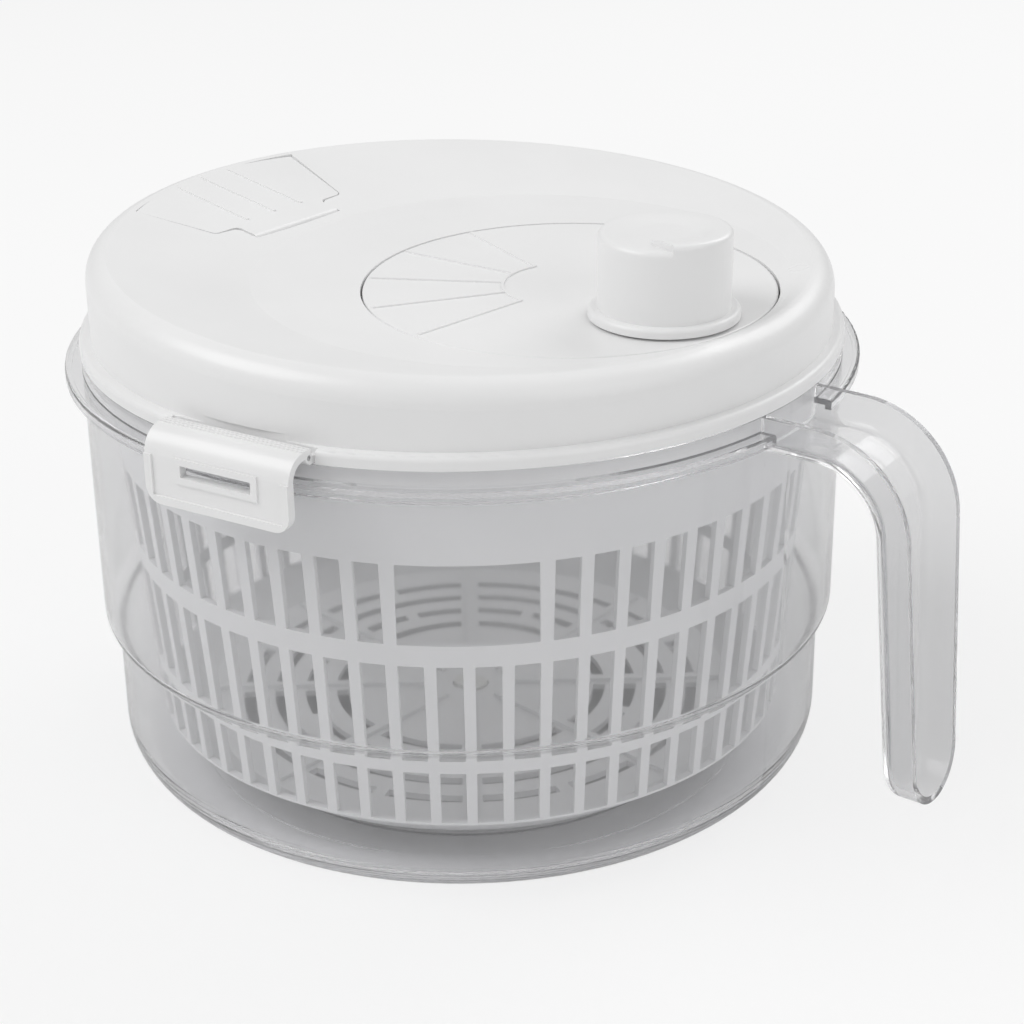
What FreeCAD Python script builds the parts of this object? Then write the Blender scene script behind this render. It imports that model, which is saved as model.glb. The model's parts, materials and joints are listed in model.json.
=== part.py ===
"""Salad spinner: clear bowl with a moulded handle, slotted basket and a geared crank lid.

Millimetres, +Z up.  The origin is the centre of the bowl's base, on the plane it stands on,
and the handle points along +X.  Every node is written to parts/NODE.step.
"""
import FreeCAD, Part
import math
import os
from FreeCAD import Vector

# ---------------------------------------------------------------- driving dimensions
# bowl
BOWL_R = 115.0            # outer radius of the upper wall and collar
BOWL_LOWER_R = 111.0      # outer radius below the step
BOWL_WALL = 2.0
BOWL_CORNER_R = 15.0      # outer radius between lower wall and base
STEP_LOW_Z = 47.0         # where the step leaves the lower wall
STEP_HIGH_Z = 52.5        # where it reaches the upper wall
FLANGE_TOP_Z = 131.9
FLANGE_R = 120.0
FLANGE_T = 1.8
LIP_T = 2.0               # turned-down lip at the flange's edge
LIP_DROP = 1.2
COLLAR_H = 4.0            # collar above the flange
GROOVE_IN_R = 76.0        # shallow ring groove under the base
GROOVE_OUT_R = 88.0
GROOVE_DEPTH = 0.8
# handle
HANDLE_W = 31.6
HANDLE_END_W = 27.0
HANDLE_DEPTH = 11.0
HANDLE_WALL = 2.2
HANDLE_ARM = 15.0         # straight part beyond the bowl wall
HANDLE_BEND_R = 30.0      # outer radius of the bend
HANDLE_LEAN = 4.2         # degrees outward from vertical
HANDLE_END_Z = 25.0
HANDLE_CORNER_R = 4.5
# basket
BASKET_FLOOR_Z = 9.3
BASKET_FLOOR_T = 2.0
BASKET_FLOOR_R = 86.0     # where the floor turns up into the chamfer
BASKET_FOOT_R = 98.8      # wall radius at the top of the chamfer
BASKET_FOOT_Z = 19.0
BASKET_TOP_R = 108.2
BASKET_TOP_Z = 131.3
BASKET_WALL = 1.9
BASKET_BARS = 60
BASKET_BAR_W = 3.3
BASKET_PHASE = -52.6      # degrees, centre of one finger opening
BASKET_ROWS = ((19.8, 37.0), (41.5, 72.6), (79.4, 104.8))
FINGER_BARS = 3           # bars left out at each finger opening
FLOOR_SLOT_RADII = (42.0, 52.0, 62.0, 72.0)
FLOOR_SLOT_W = 3.8
FLOOR_SPOKES = 8
SPOKE_W = 6.0
SPOKE_RIB_W = 2.6         # raised rib along each spoke
SPOKE_RIB_H = 1.2
HUB_HOLE_R = 5.8
DRIVE_RIBS = 6
DRIVE_RIB_W = 3.0
DRIVE_RIB_IN = 3.2        # how far a rib stands in from the wall
# pivot
PIVOT_R = 3.0
PIVOT_TOP_Z = 8.2
# lid
LID_R = 111.7
LID_WALL = 2.0
LID_MID_Z = 161.7         # height of the sloping top plane at the lid's axis
LID_SLOPE = 2.35          # degrees, falling towards the crank
LID_TURN = -6.0           # degrees, direction of the crank from the bowl's axis
SHOULDER_R = 7.2
DISH_R = 79.5             # level part of the top, round the crank
DISH_OFFSET = 24.0        # its centre's distance from the lid's axis
BEAD_R = 115.2
BEAD_H = 3.9
SKIRT_DROP = 5.0
# crank
CRANK_OFFSET = 43.0
DISC_R = 60.0
DISC_T = 2.2
DISC_TOP_Z = 157.25
DISC_RIBS = (156.0, 182.0, 208.0, 234.0, 260.0)
DISC_RIB_IN = 19.5
POCKET_DEPTH = 3.5
CRANK_SHAFT_R = 9.0
# knob
KNOB_ORBIT = 37.5
KNOB_ANGLE = -11.0        # degrees, about the crank's axis
KNOB_R = 18.7
KNOB_RING_R = 21.3
KNOB_RING_H = 2.6
KNOB_TOP_Z = 183.2
KNOB_WALL = 2.2
KNOB_RAMP = 2.0           # rise of the spiral step on the knob's cap
KNOB_RAMP_TURN = 300.0    # degrees over which the ramp falls away
KNOB_RAMP_STEPS = 24
KNOB_STEP_ANGLE = -62.0   # degrees, direction of the step
KNOB_CAP_T = 0.8          # thickness of the cap where the ramp ends
KNOB_CAP_INSET = 1.2
KNOB_WELL_R = 6.1         # well in the knob for the washer and screw head
KNOB_WASHER_T = 1.2
SPINDLE_R = 4.0
SPINDLE_TOP_Z = 174.2
# gears
MODULE = 2.0
RING_TEETH = 57
PINION_TEETH = 14
PRESSURE_ANGLE = 20.0
ADDENDUM = 0.9
DEDENDUM = 1.25
BACKLASH = 0.4
RING_RIM = 3.0
TOOTH_Z = (142.2, 147.6)
PINION_SHAFT_R = 5.0
# gear cover
COVER_Z = 138.6
COVER_T = 2.0
COVER_R = 108.6
COVER_SCREW_ORBIT = 100.0
COVER_SCREW_ANGLES = (50.0, 110.0, 150.0, 212.0, 250.0, 310.0)
SCREW_R = 1.5
SCREW_HEAD_R = 2.9
# drive plate
DRIVE_PLATE_Z = 127.0
DRIVE_PLATE_T = 2.0
# latches
LATCH_ANGLES = {"latch_front": -84.3, "latch_rear": 95.7}
LATCH_W = 47.0
LATCH_T = 2.2
LATCH_PIVOT = (113.9, 138.2)   # radius and height of the hinge pin
LATCH_KNUCKLE_R = 2.0
LATCH_KNUCKLE_W = 39.0
LATCH_RISE = 2.8          # latch's top above the pin's axis
LATCH_PIN_R = 0.8
LATCH_EAR_R = 1.5         # ears on the lid that hold the pin, under the latch's two ends
LATCH_EAR_W = 3.0
LATCH_FACE = 124.4        # distance of the plate's outer face from the axis
LATCH_LOW_Z = 120.4
LATCH_BEND_R = 7.0
LATCH_SLOT = (23.0, 3.4, 131.3)   # length, height and mid height of the window
# drain flap
FLAP_TURN = 177.5         # degrees, direction of the flap's centre line
FLAP_SHIFT = 8.0          # sideways distance of that line from the lid's axis
FLAP_IN = 59.5            # distance of the hinge end along the line
FLAP_STEP = 68.0          # where the hinge block widens into the fan
FLAP_OUT = 103.6          # radius of the round outer edge
FLAP_TAB_W = 37.0
FLAP_FAN_W = 56.0
FLAP_OUT_W = 79.0
FLAP_T = 2.0
FLAP_PROUD = 0.45
FLAP_BARREL_R = 1.9
FLAP_PIN_R = 0.8
FLAP_PIN_REACH = 2.5      # how far the pin runs into the lid at each end
DRAIN_SLOTS = 9
# fits
GAP = 0.3                 # clearance between bodies
RUN = 0.05                # radial running clearance of a shaft in its bush
SCREW_CLEAR = 0.1

EPS = 0.01
UP = Vector(0, 0, 1)


# ---------------------------------------------------------------- small helpers
def polar(radius, angle, z=0.0):
    a = math.radians(angle)
    return Vector(radius * math.cos(a), radius * math.sin(a), z)


def turned(shape, angle, centre=Vector(0, 0, 0)):
    copy = shape.copy()
    copy.rotate(centre, UP, angle)
    return copy


def cyl(radius, z0, z1, centre=Vector(0, 0, 0)):
    return Part.makeCylinder(radius, z1 - z0, Vector(centre.x, centre.y, z0))


def ring(inner, outer, z0, z1, centre=Vector(0, 0, 0)):
    return cyl(outer, z0, z1, centre).cut(cyl(inner, z0 - 1, z1 + 1, centre))


def revolve(points):
    """Full turn about Z of a closed outline of (radius, height) points."""
    wire = Part.makePolygon([Vector(r, 0, z) for r, z in points + points[:1]])
    return Part.Face(wire).revolve(Vector(0, 0, 0), UP, 360)


def prism(points, z0, z1):
    """Upright prism of an (x, y) outline."""
    wire = Part.makePolygon([Vector(x, y, z0) for x, y in points + points[:1]])
    return Part.Face(wire).extrude(Vector(0, 0, z1 - z0))


def bar(x0, x1, y0, y1, z0, z1):
    return Part.makeBox(x1 - x0, y1 - y0, z1 - z0, Vector(x0, y0, z0))


def fuse(shapes):
    shapes = list(shapes)
    return shapes[0].multiFuse(shapes[1:]).removeSplitter() if len(shapes) > 1 else shapes[0]


def cut(shape, tools):
    tools = list(tools)
    return shape.cut(Part.makeCompound(tools)) if tools else shape


def fillet_where(shape, radius, test):
    edges = [e for e in shape.Edges if test(e)]
    return shape.makeFillet(radius, edges)


def circle_edge_at(radius, z, tolerance=0.05):
    """Test for a full-circle edge of one radius at one height."""
    def test(edge):
        curve = edge.Curve
        if not isinstance(curve, Part.Circle):
            return False
        return abs(curve.Radius - radius) < tolerance and abs(curve.Center.z - z) < tolerance
    return test


def pan_screw(centre, z_head, z_tip, head_h=1.6):
    """Pan-head screw with its head at z_head, pointing up to z_tip."""
    head = cyl(SCREW_HEAD_R, z_head, z_head + head_h, centre)
    head = fillet_where(head, head_h * 0.6, circle_edge_at(SCREW_HEAD_R, z_head))
    body = fuse([head, cyl(SCREW_R, z_head + head_h - EPS, z_tip, centre)])
    slot = bar(-1.9, 1.9, -0.35, 0.35, z_head - 1, z_head + head_h * 0.5)
    slot.translate(Vector(centre.x, centre.y, 0))
    return body.cut(fuse([slot, turned(slot, 90, centre)]))


# ---------------------------------------------------------------- derived places
COLLAR_TOP_Z = FLANGE_TOP_Z + COLLAR_H
FLOOR_TOP_Z = BOWL_WALL + GROOVE_DEPTH
BEAD_Z = COLLAR_TOP_Z + GAP
CRANK_AXIS = polar(CRANK_OFFSET, LID_TURN)
POCKET_R = DISC_R + 2 * GAP
POCKET_Z = DISC_TOP_Z - POCKET_DEPTH
POCKET_UNDER_Z = POCKET_Z - LID_WALL
SLOPE_T = math.tan(math.radians(LID_SLOPE))
KNOB_AXIS = CRANK_AXIS + polar(KNOB_ORBIT, KNOB_ANGLE)
KNOB_BODY_TOP_Z = KNOB_TOP_Z - KNOB_RAMP - KNOB_CAP_T


# ---------------------------------------------------------------- bowl
def bowl_outline(offset):
    """Outside of the bowl, or its inside when offset is the wall thickness."""
    r_low = BOWL_LOWER_R - offset
    r_up = BOWL_R - offset
    corner = BOWL_CORNER_R - offset
    floor = offset + (GROOVE_DEPTH if offset else 0.0)
    arc = []
    for i in range(13):
        a = math.radians(-90 + 90 * i / 12)
        arc.append((r_low - corner + corner * math.cos(a), floor + corner + corner * math.sin(a)))
    top = COLLAR_TOP_Z + (1.0 if offset else 0.0)
    step = []
    for i in range(9):
        t = i / 8
        step.append((r_low + (r_up - r_low) * t * t * (3 - 2 * t), STEP_LOW_Z + (STEP_HIGH_Z - STEP_LOW_Z) * t))
    return [(0, floor)] + arc + step + [(r_up, top), (0, top)]


def make_bowl():
    body = revolve(bowl_outline(0.0)).cut(revolve(bowl_outline(BOWL_WALL)))
    groove = ring(GROOVE_IN_R, GROOVE_OUT_R, -1, GROOVE_DEPTH)
    flange = ring(BOWL_R - BOWL_WALL / 2, FLANGE_R, FLANGE_TOP_Z - FLANGE_T, FLANGE_TOP_Z)
    lip = ring(FLANGE_R - LIP_T, FLANGE_R, FLANGE_TOP_Z - FLANGE_T - LIP_DROP, FLANGE_TOP_Z)
    rim = fuse([flange, lip])
    rim = fillet_where(rim, 0.8, circle_edge_at(FLANGE_R, FLANGE_TOP_Z))
    window = bar(BOWL_R - 5, FLANGE_R + 5, -HANDLE_W / 2, HANDLE_W / 2,
                 FLANGE_TOP_Z - 10, FLANGE_TOP_Z + EPS)
    window = window.cut(cyl(BOWL_R, 0, COLLAR_TOP_Z + 5))
    boss = cyl(PIVOT_R + 4, FLOOR_TOP_Z - EPS, FLOOR_TOP_Z + 1.6)
    socket = cyl(PIVOT_R, BOWL_WALL * 0.6, FLOOR_TOP_Z + 5)
    return fuse([body, rim.cut(window), boss]).cut(fuse([groove, socket]))


# ---------------------------------------------------------------- handle
def handle_side(offset_out, offset_in):
    """Side outline of the handle band, shrunk from its outer and inner sides."""
    z_top = COLLAR_TOP_Z - offset_out
    bend = HANDLE_BEND_R - offset_out
    inner = HANDLE_BEND_R - HANDLE_DEPTH + offset_in
    cx = BOWL_R + HANDLE_ARM
    cz = COLLAR_TOP_Z - HANDLE_BEND_R
    lean = math.radians(HANDLE_LEAN)
    down = Vector(math.sin(lean), 0, -math.cos(lean))
    run = (cz - HANDLE_END_Z + HANDLE_DEPTH) / math.cos(lean)

    def at(radius, angle):
        a = math.radians(angle)
        return Vector(cx + radius * math.cos(a), 0, cz + radius * math.sin(a))

    mid = (90 + HANDLE_LEAN) / 2
    a0, a1, a2 = at(bend, 90), at(bend, mid), at(bend, HANDLE_LEAN)
    b0, b1, b2 = at(inner, HANDLE_LEAN), at(inner, mid), at(inner, 90)
    root = BOWL_R - BOWL_WALL / 2
    edges = [
        Part.LineSegment(Vector(root, 0, z_top), a0).toShape(),
        Part.Arc(a0, a1, a2).toShape(),
        Part.LineSegment(a2, a2 + down * run).toShape(),
        Part.LineSegment(a2 + down * run, b0 + down * run).toShape(),
        Part.LineSegment(b0 + down * run, b0).toShape(),
        Part.Arc(b0, b1, b2).toShape(),
        Part.LineSegment(b2, Vector(root, 0, b2.z)).toShape(),
        Part.LineSegment(Vector(root, 0, b2.z), Vector(root, 0, z_top)).toShape(),
    ]
    return Part.Face(Part.Wire(edges))


def handle_front(shrink):
    """Front outline: parallel at the bend, tapering down to a round end."""
    half = HANDLE_W / 2 - shrink
    r_end = HANDLE_END_W / 2 - shrink
    z_bend = COLLAR_TOP_Z - HANDLE_BEND_R
    z_end = HANDLE_END_Z + HANDLE_END_W / 2
    x = BOWL_R - BOWL_WALL
    top = COLLAR_TOP_Z + 5
    pts = [Vector(x, half, top), Vector(x, half, z_bend), Vector(x, r_end, z_end),
           Vector(x, 0, z_end - r_end), Vector(x, -r_end, z_end), Vector(x, -half, z_bend),
           Vector(x, -half, top)]
    edges = [Part.LineSegment(pts[0], pts[1]).toShape(), Part.LineSegment(pts[1], pts[2]).toShape(),
             Part.Arc(pts[2], pts[3], pts[4]).toShape(), Part.LineSegment(pts[4], pts[5]).toShape(),
             Part.LineSegment(pts[5], pts[6]).toShape(), Part.LineSegment(pts[6], pts[0]).toShape()]
    return Part.Face(Part.Wire(edges)).extrude(Vector(100, 0, 0))


def handle_block(offset_out, offset_in, shrink, corner):
    side = handle_side(offset_out, offset_in)
    width = HANDLE_W + 10
    side.translate(Vector(0, -width / 2, 0))
    block = side.extrude(Vector(0, width, 0)).common(handle_front(shrink))
    inner = HANDLE_BEND_R - HANDLE_DEPTH + offset_in
    cx = BOWL_R + HANDLE_ARM
    cz = COLLAR_TOP_Z - HANDLE_BEND_R
    lean = math.radians(HANDLE_LEAN)
    normal = Vector(math.cos(lean), 0, math.sin(lean))

    def on_inner(point):
        """Whether a point lies on the bowl-side face of the band."""
        d = Vector(point.x - cx, 0, point.z - cz)
        if d.x < 0:
            return abs(d.z - inner) < 0.02
        if d.dot(Vector(math.sin(lean), 0, -math.cos(lean))) > 0:
            return abs(d.dot(normal) - inner) < 0.02
        return abs(d.Length - inner) < 0.02

    def test(edge):
        a, b = edge.ParameterRange
        pts = [edge.valueAt(a), edge.valueAt((a + b) / 2), edge.valueAt(b)]
        across = abs(pts[0].y + pts[2].y) < 0.1 and abs(pts[1].y) < 0.1 and abs(pts[1].z - pts[0].z) < 0.01
        return all(on_inner(p) for p in pts) and not across

    return fillet_where(block, corner, test)


def make_handle():
    outer = handle_block(0.0, 0.0, 0.0, HANDLE_CORNER_R)
    inner = handle_block(-5.0, HANDLE_WALL, HANDLE_WALL, HANDLE_CORNER_R - HANDLE_WALL)
    bore = cyl(BOWL_R, FLANGE_TOP_Z - 40, COLLAR_TOP_Z + 5)
    channel = outer.cut(inner).cut(bore)
    return channel.common(bar(BOWL_R - 5, 300, -100, 100, 0, COLLAR_TOP_Z))


# ---------------------------------------------------------------- basket
def basket_radius(z):
    k = (BASKET_TOP_R - BASKET_FOOT_R) / (BASKET_TOP_Z - BASKET_FOOT_Z)
    return BASKET_FOOT_R + (z - BASKET_FOOT_Z) * k


def basket_shell():
    t = BASKET_WALL
    return revolve([
        (0, BASKET_FLOOR_Z), (BASKET_FLOOR_R, BASKET_FLOOR_Z), (BASKET_FOOT_R, BASKET_FOOT_Z),
        (BASKET_TOP_R - 0.3, BASKET_TOP_Z - 2.4), (BASKET_TOP_R + 1.3, BASKET_TOP_Z - 2.0),
        (BASKET_TOP_R + 1.3, BASKET_TOP_Z), (BASKET_TOP_R - t, BASKET_TOP_Z),
        (BASKET_FOOT_R - t, BASKET_FOOT_Z + 1.0), (BASKET_FLOOR_R - 1.0, BASKET_FLOOR_Z + BASKET_FLOOR_T),
        (0, BASKET_FLOOR_Z + BASKET_FLOOR_T)])


def basket_slots():
    pitch = 360.0 / BASKET_BARS
    mid_r = basket_radius(60)
    slot_w = 2 * math.pi * mid_r / BASKET_BARS - BASKET_BAR_W
    half_span = (FINGER_BARS + 1) / 2
    tools = []
    for row, (z0, z1) in enumerate(BASKET_ROWS):
        for i in range(BASKET_BARS):
            k = i + 0.5
            if row == 2 and (k % (BASKET_BARS / 2) < half_span or k % (BASKET_BARS / 2) > BASKET_BARS / 2 - half_span):
                continue
            box = bar(BASKET_FLOOR_R, BASKET_TOP_R + 3, -slot_w / 2, slot_w / 2, z0, z1)
            tools.append(turned(box, BASKET_PHASE + k * pitch))
    z0, z1 = BASKET_ROWS[2]
    opening = 2 * mid_r * math.sin(math.radians(half_span * pitch)) - BASKET_BAR_W
    for side in (0, 180):
        box = bar(BASKET_FLOOR_R, BASKET_TOP_R + 3, -opening / 2, opening / 2, z0, z1)
        tools.append(turned(box, BASKET_PHASE + side))
    return tools


def floor_slots():
    z0, z1 = BASKET_FLOOR_Z - 1, BASKET_FLOOR_Z + BASKET_FLOOR_T + 1
    tools = []
    sector = 360.0 / FLOOR_SPOKES
    for n, radius in enumerate(FLOOR_SLOT_RADII):
        half = math.degrees(SPOKE_W / 2 / radius)
        parts = 2 if n % 2 else 1
        for s in range(FLOOR_SPOKES):
            for p in range(parts):
                a0 = s * sector + half + p * (sector - 2 * half) / parts
                a1 = a0 + (sector - 2 * half) / parts
                if parts == 2:
                    gap = math.degrees(SPOKE_W / 3 / radius)
                    a0, a1 = (a0, a1 - gap) if p == 0 else (a0 + gap, a1)
                outer = Part.makeCylinder(radius + FLOOR_SLOT_W / 2, z1 - z0, Vector(0, 0, z0), UP, a1 - a0)
                inner = cyl(radius - FLOOR_SLOT_W / 2, z0 - 1, z1 + 1)
                tools.append(turned(outer.cut(inner), BASKET_PHASE + a0))
    return tools


def make_basket():
    shell = basket_shell()
    wall_in = basket_radius(DRIVE_PLATE_Z) - BASKET_WALL
    ribs = []
    for i in range(DRIVE_RIBS):
        rib = bar(wall_in - DRIVE_RIB_IN, wall_in + BASKET_WALL / 2, -DRIVE_RIB_W / 2, DRIVE_RIB_W / 2,
                  BASKET_ROWS[2][1] + 10, BASKET_TOP_Z - 1.0)
        ribs.append(turned(rib, i * 360.0 / DRIVE_RIBS))
    floor_top = BASKET_FLOOR_Z + BASKET_FLOOR_T
    for i in range(FLOOR_SPOKES):
        spoke = bar(HUB_HOLE_R + 6, BASKET_FLOOR_R - 3, -SPOKE_RIB_W / 2, SPOKE_RIB_W / 2, floor_top - EPS,
                    floor_top + SPOKE_RIB_H)
        ribs.append(turned(spoke, BASKET_PHASE + i * 360.0 / FLOOR_SPOKES))
    body = fuse([shell] + ribs)
    hub = cyl(HUB_HOLE_R, BASKET_FLOOR_Z - 1, BASKET_FLOOR_Z + BASKET_FLOOR_T + 1)
    flats = bar(-HUB_HOLE_R, HUB_HOLE_R, -HUB_HOLE_R * 0.8, HUB_HOLE_R * 0.8, 0, 40)
    return cut(body, basket_slots() + floor_slots() + [hub.common(flats)])


def make_pivot_pin():
    pin = cyl(PIVOT_R, BOWL_WALL * 0.6, PIVOT_TOP_Z)
    return fillet_where(pin, 1.2, circle_edge_at(PIVOT_R, PIVOT_TOP_Z))


def make_pivot_cup():
    """Bearing cup that turns on the pin and carries the basket's keyed hub."""
    z0 = FLOOR_TOP_Z + 1.6 + GAP
    body = cyl(HUB_HOLE_R + 4.5, z0, BASKET_FLOOR_Z)
    r = HUB_HOLE_R - GAP
    spigot = cyl(r, BASKET_FLOOR_Z - EPS, BASKET_FLOOR_Z + BASKET_FLOOR_T + 0.8)
    key = HUB_HOLE_R * 0.8 - GAP
    spigot = spigot.common(bar(-r, r, -key, key, 0, 40))
    bore = cyl(PIVOT_R + RUN, z0 - 1, PIVOT_TOP_Z + 0.1)
    return fuse([body, spigot]).cut(bore)


# ---------------------------------------------------------------- lid
def slope_frame(drop):
    """Placement of the sloping top plane, lowered by drop."""
    rot = FreeCAD.Rotation(UP, LID_TURN) * FreeCAD.Rotation(Vector(0, 1, 0), LID_SLOPE)
    return FreeCAD.Placement(Vector(0, 0, LID_MID_Z - drop), rot)


def lid_solid(offset, z0):
    """Cylinder with the sloping top and rounded shoulder, shrunk by offset."""
    body = cyl(LID_R - offset, z0, LID_MID_Z + 30)
    above = Part.makeBox(400, 400, 100, Vector(-200, -200, 0))
    above.Placement = slope_frame(offset)
    body = body.cut(above)

    def test(edge):
        return edge.BoundBox.ZMin > z0 + 5 and edge.Closed

    return fillet_where(body, SHOULDER_R - offset, test)


def dish_air(drop, flat_z):
    """Space above the dished top: from the level circle round the crank out to the slope."""
    middle = polar(DISH_OFFSET, LID_TURN)
    low = Part.Wire(Part.makeCircle(DISH_R, middle + Vector(0, 0, flat_z), UP))
    stretch = 1.03
    high_r = DISH_R + (dish_rim() - DISH_R) * stretch
    centre = middle * (1 - stretch)
    normal = slope_frame(drop).Rotation.multVec(UP)
    plane_z = LID_MID_Z - drop
    high_z = flat_z + (plane_z - flat_z) * stretch
    high = Part.Wire(Part.makeCircle(high_r, Vector(centre.x, centre.y, high_z), normal))
    return Part.makeLoft([low, high], True, True)


def dish_rim():
    """Radius at which the dish meets the shoulder."""
    return LID_R - SHOULDER_R + 1.0


def on_dish(along, across):
    """Point of the dished top, given along the flap's centre line and across it."""
    spot = turned_point(along, across + FLAP_SHIFT)
    crank = polar(1.0, LID_TURN)
    low, high = 0.0, 1.2
    for _ in range(40):
        t = (low + high) / 2
        out = spot - crank * (DISH_OFFSET * (1 - t))
        if out.Length > DISH_R + (dish_rim() - DISH_R) * t:
            low = t
        else:
            high = t
    rim_z = LID_MID_Z - SLOPE_T * dish_rim() * out.dot(crank) / out.Length
    return spot + Vector(0, 0, DISC_TOP_Z + (rim_z - DISC_TOP_Z) * t)


def turned_point(along, across):
    return FreeCAD.Rotation(UP, FLAP_TURN).multVec(Vector(along, across, 0))


def flap_frame():
    """Plane of the drain flap: x outward along its centre line, z out of the lid."""
    left = on_dish(FLAP_IN, -FLAP_TAB_W / 2)
    right = on_dish(FLAP_IN, FLAP_TAB_W / 2)
    far = on_dish(FLAP_OUT - 5, 0.0)
    hinge = (left + right) * 0.5
    y_axis = (right - left).normalize()
    z_axis = (far - hinge).cross(y_axis).normalize()
    x_axis = y_axis.cross(z_axis)
    rot = FreeCAD.Rotation(x_axis, y_axis, z_axis, "ZXY")
    return FreeCAD.Placement(hinge + x_axis * (FLAP_STEP - FLAP_IN), rot)


def flap_blank(grow, z0, z1, radius):
    """Fan-shaped plate with its hinge block, in place, grown by a clearance."""
    tab = FLAP_TAB_W / 2 + grow
    fan = FLAP_FAN_W / 2 + grow
    out = FLAP_OUT_W / 2 + grow
    x_in = FLAP_IN - FLAP_STEP - grow
    x_out = FLAP_OUT - FLAP_STEP
    plan = [(x_in, -tab), (-grow, -tab), (-grow, -fan), (x_out, -out), (x_out + 10, -out),
            (x_out + 10, out), (x_out, out), (-grow, fan), (-grow, tab), (x_in, tab)]

    def corner(edge):
        box = edge.BoundBox
        upright = box.ZLength > 0.5 and box.XLength < 0.01 and box.YLength < 0.01
        return upright and x_in + 1 < box.XMax < 1

    blank = fillet_where(prism(plan, z0, z1), radius, corner)
    blank.Placement = flap_frame()
    return blank.common(cyl(FLAP_OUT + grow, 100, 250))


def flap_axle(radius, length):
    """Cylinder on the flap's hinge line, in the flap's own frame."""
    x = FLAP_IN - FLAP_STEP + FLAP_BARREL_R
    return Part.makeCylinder(radius, length, Vector(x, -length / 2, FLAP_PROUD - FLAP_BARREL_R), Vector(0, 1, 0))


def placed(shape):
    shape.Placement = flap_frame()
    return shape


def drain_windows(under):
    tools = []
    span = FLAP_FAN_W - 8
    length = FLAP_OUT - FLAP_STEP - 10
    for i in range(DRAIN_SLOTS):
        y = -span / 2 + span * i / (DRAIN_SLOTS - 1)
        tools.append(placed(bar(3, length, y - 1.4, y + 1.4, under - 3, 1)))
    return tools


def make_lid_shell():
    shell = lid_solid(0.0, BEAD_Z)
    void = lid_solid(LID_WALL, BEAD_Z - 10)
    void = void.cut(dish_air(LID_WALL, DISC_TOP_Z - LID_WALL))
    void = void.cut(cyl(POCKET_R + LID_WALL, POCKET_UNDER_Z, 200, CRANK_AXIS))
    tray_low = FLAP_PROUD - FLAP_T - GAP - LID_WALL
    axle_low = FLAP_PROUD - 2 * FLAP_BARREL_R - GAP - LID_WALL
    half = FLAP_TAB_W / 2 + FLAP_PIN_REACH + 1.5
    x_in = FLAP_IN - FLAP_STEP
    axle_bed = placed(bar(x_in - 2.5, x_in + 2 * FLAP_BARREL_R + 2.5, -half, half, axle_low, 3))
    void = cut(void, [flap_blank(2.5, tray_low, 3, 3.0)])
    void = cut(void, [axle_bed])
    shell = shell.cut(void)
    shell = cut(shell, [dish_air(0.0, DISC_TOP_Z)])
    shell = cut(shell, [cyl(POCKET_R, POCKET_Z, 200, CRANK_AXIS)])
    # recess for the flap, its hinge and the drain windows below it
    shell = cut(shell, [flap_blank(GAP, FLAP_PROUD - FLAP_T - GAP, 5, 2.5)])
    shell = cut(shell, [placed(flap_axle(FLAP_BARREL_R + GAP, FLAP_TAB_W + 2 * GAP))])
    shell = cut(shell, [placed(flap_axle(FLAP_PIN_R, FLAP_TAB_W + 2 * FLAP_PIN_REACH))])
    shell = cut(shell, drain_windows(tray_low))
    # bead, skirt, crank bearing, screw bosses and latch ears
    bead = ring(LID_R - LID_WALL, BEAD_R, BEAD_Z, BEAD_Z + BEAD_H)
    bead = fillet_where(bead, 1.6, circle_edge_at(BEAD_R, BEAD_Z + BEAD_H))
    skirt = ring(LID_R - LID_WALL, BOWL_R - BOWL_WALL - GAP, BEAD_Z - SKIRT_DROP, BEAD_Z + EPS)
    bearing = cyl(CRANK_SHAFT_R + 5, POCKET_UNDER_Z - 1.5, POCKET_Z - EPS, CRANK_AXIS)
    bosses = []
    for angle in COVER_SCREW_ANGLES:
        spot = polar(COVER_SCREW_ORBIT, LID_TURN + angle)
        boss = cyl(SCREW_R + 2.6, COVER_Z + COVER_T, LID_MID_Z + 10, spot)
        boss = boss.common(lid_solid(LID_WALL / 2, BEAD_Z))
        bosses.append(boss.cut(dish_air(LID_WALL / 2, DISC_TOP_Z - LID_WALL / 2)))
    shell = fuse([shell, bead, skirt, bearing] + bosses)
    shell = cut(shell, [turned(latch_notch(), angle) for angle in LATCH_ANGLES.values()])
    shell = fuse([shell] + [turned(latch_ears(), angle) for angle in LATCH_ANGLES.values()])
    drills = [cyl(CRANK_SHAFT_R + 2.0, 100, 200, CRANK_AXIS)]
    for angle in COVER_SCREW_ANGLES:
        spot = polar(COVER_SCREW_ORBIT, LID_TURN + angle)
        drills.append(cyl(SCREW_R + SCREW_CLEAR, COVER_Z, COVER_Z + COVER_T + 9, spot))
    for angle in LATCH_ANGLES.values():
        drills.append(turned(latch_pin_rod(), angle))
    return cut(shell, drills)


def latch_ears():
    """Two ears that reach out from the lid's wall under a latch's ends and hold its pin."""
    r, z = LATCH_PIVOT
    inner = LATCH_KNUCKLE_W / 2 + GAP
    ears = []
    for y in (inner, -inner - LATCH_EAR_W):
        eye = Part.makeCylinder(LATCH_EAR_R, LATCH_EAR_W, Vector(r, y, z), Vector(0, 1, 0))
        web = bar(r - 8, r, y, y + LATCH_EAR_W, BEAD_Z, z)
        ears.append(fuse([eye, web]).cut(cyl(LID_R - LID_WALL, 100, 200)))
    return Part.makeCompound(ears)


def latch_notch():
    """Space in the bead and the lid's wall for a latch and its swing."""
    half = LATCH_W / 2 + GAP
    r, z = LATCH_PIVOT
    return bar(r - LATCH_RISE - 0.2, BEAD_R + 5, -half, half, BEAD_Z - EPS, z + LATCH_RISE + 1)


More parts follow.
